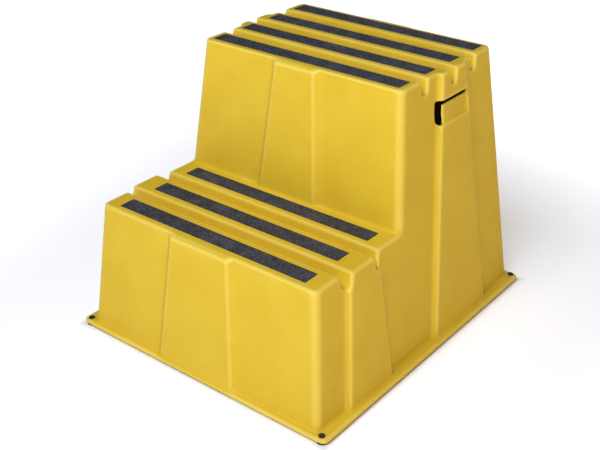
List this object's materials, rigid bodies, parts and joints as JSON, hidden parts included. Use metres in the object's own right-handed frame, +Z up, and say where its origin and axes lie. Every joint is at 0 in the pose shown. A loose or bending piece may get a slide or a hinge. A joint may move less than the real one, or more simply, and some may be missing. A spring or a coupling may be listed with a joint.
{
  "type": "two-tread mounting block",
  "caption": "Hollow moulded plastic mounting block with a lower and an upper tread, grit strips, side hand holds and a flanged foot.",
  "frame": {"origin": "on the floor, under the middle of the flange's outline", "axes": "+Z up; +Y from the lower tread towards the upper tread, so the block is climbed along +Y; +X to the right of a person who faces the treads"},
  "size_m": [0.58, 0.66, 0.504],
  "materials": {
    "shell": "satin moulded polyethylene, yellow",
    "grit_tape": "black mineral grit on self-adhesive tape",
    "foot_rubber": "matt black rubber"
  },
  "bodies": {
    "root": {"moulded_shell": "shell", "lower_grip_strip_1": "grit_tape", "lower_grip_strip_2": "grit_tape", "lower_grip_strip_3": "grit_tape", "upper_grip_strip_1": "grit_tape", "upper_grip_strip_2": "grit_tape", "upper_grip_strip_3": "grit_tape", "upper_grip_strip_4": "grit_tape", "foot_front_left": "foot_rubber", "foot_front_right": "foot_rubber", "foot_rear_left": "foot_rubber", "foot_rear_right": "foot_rubber"}
  },
  "joints": []
}
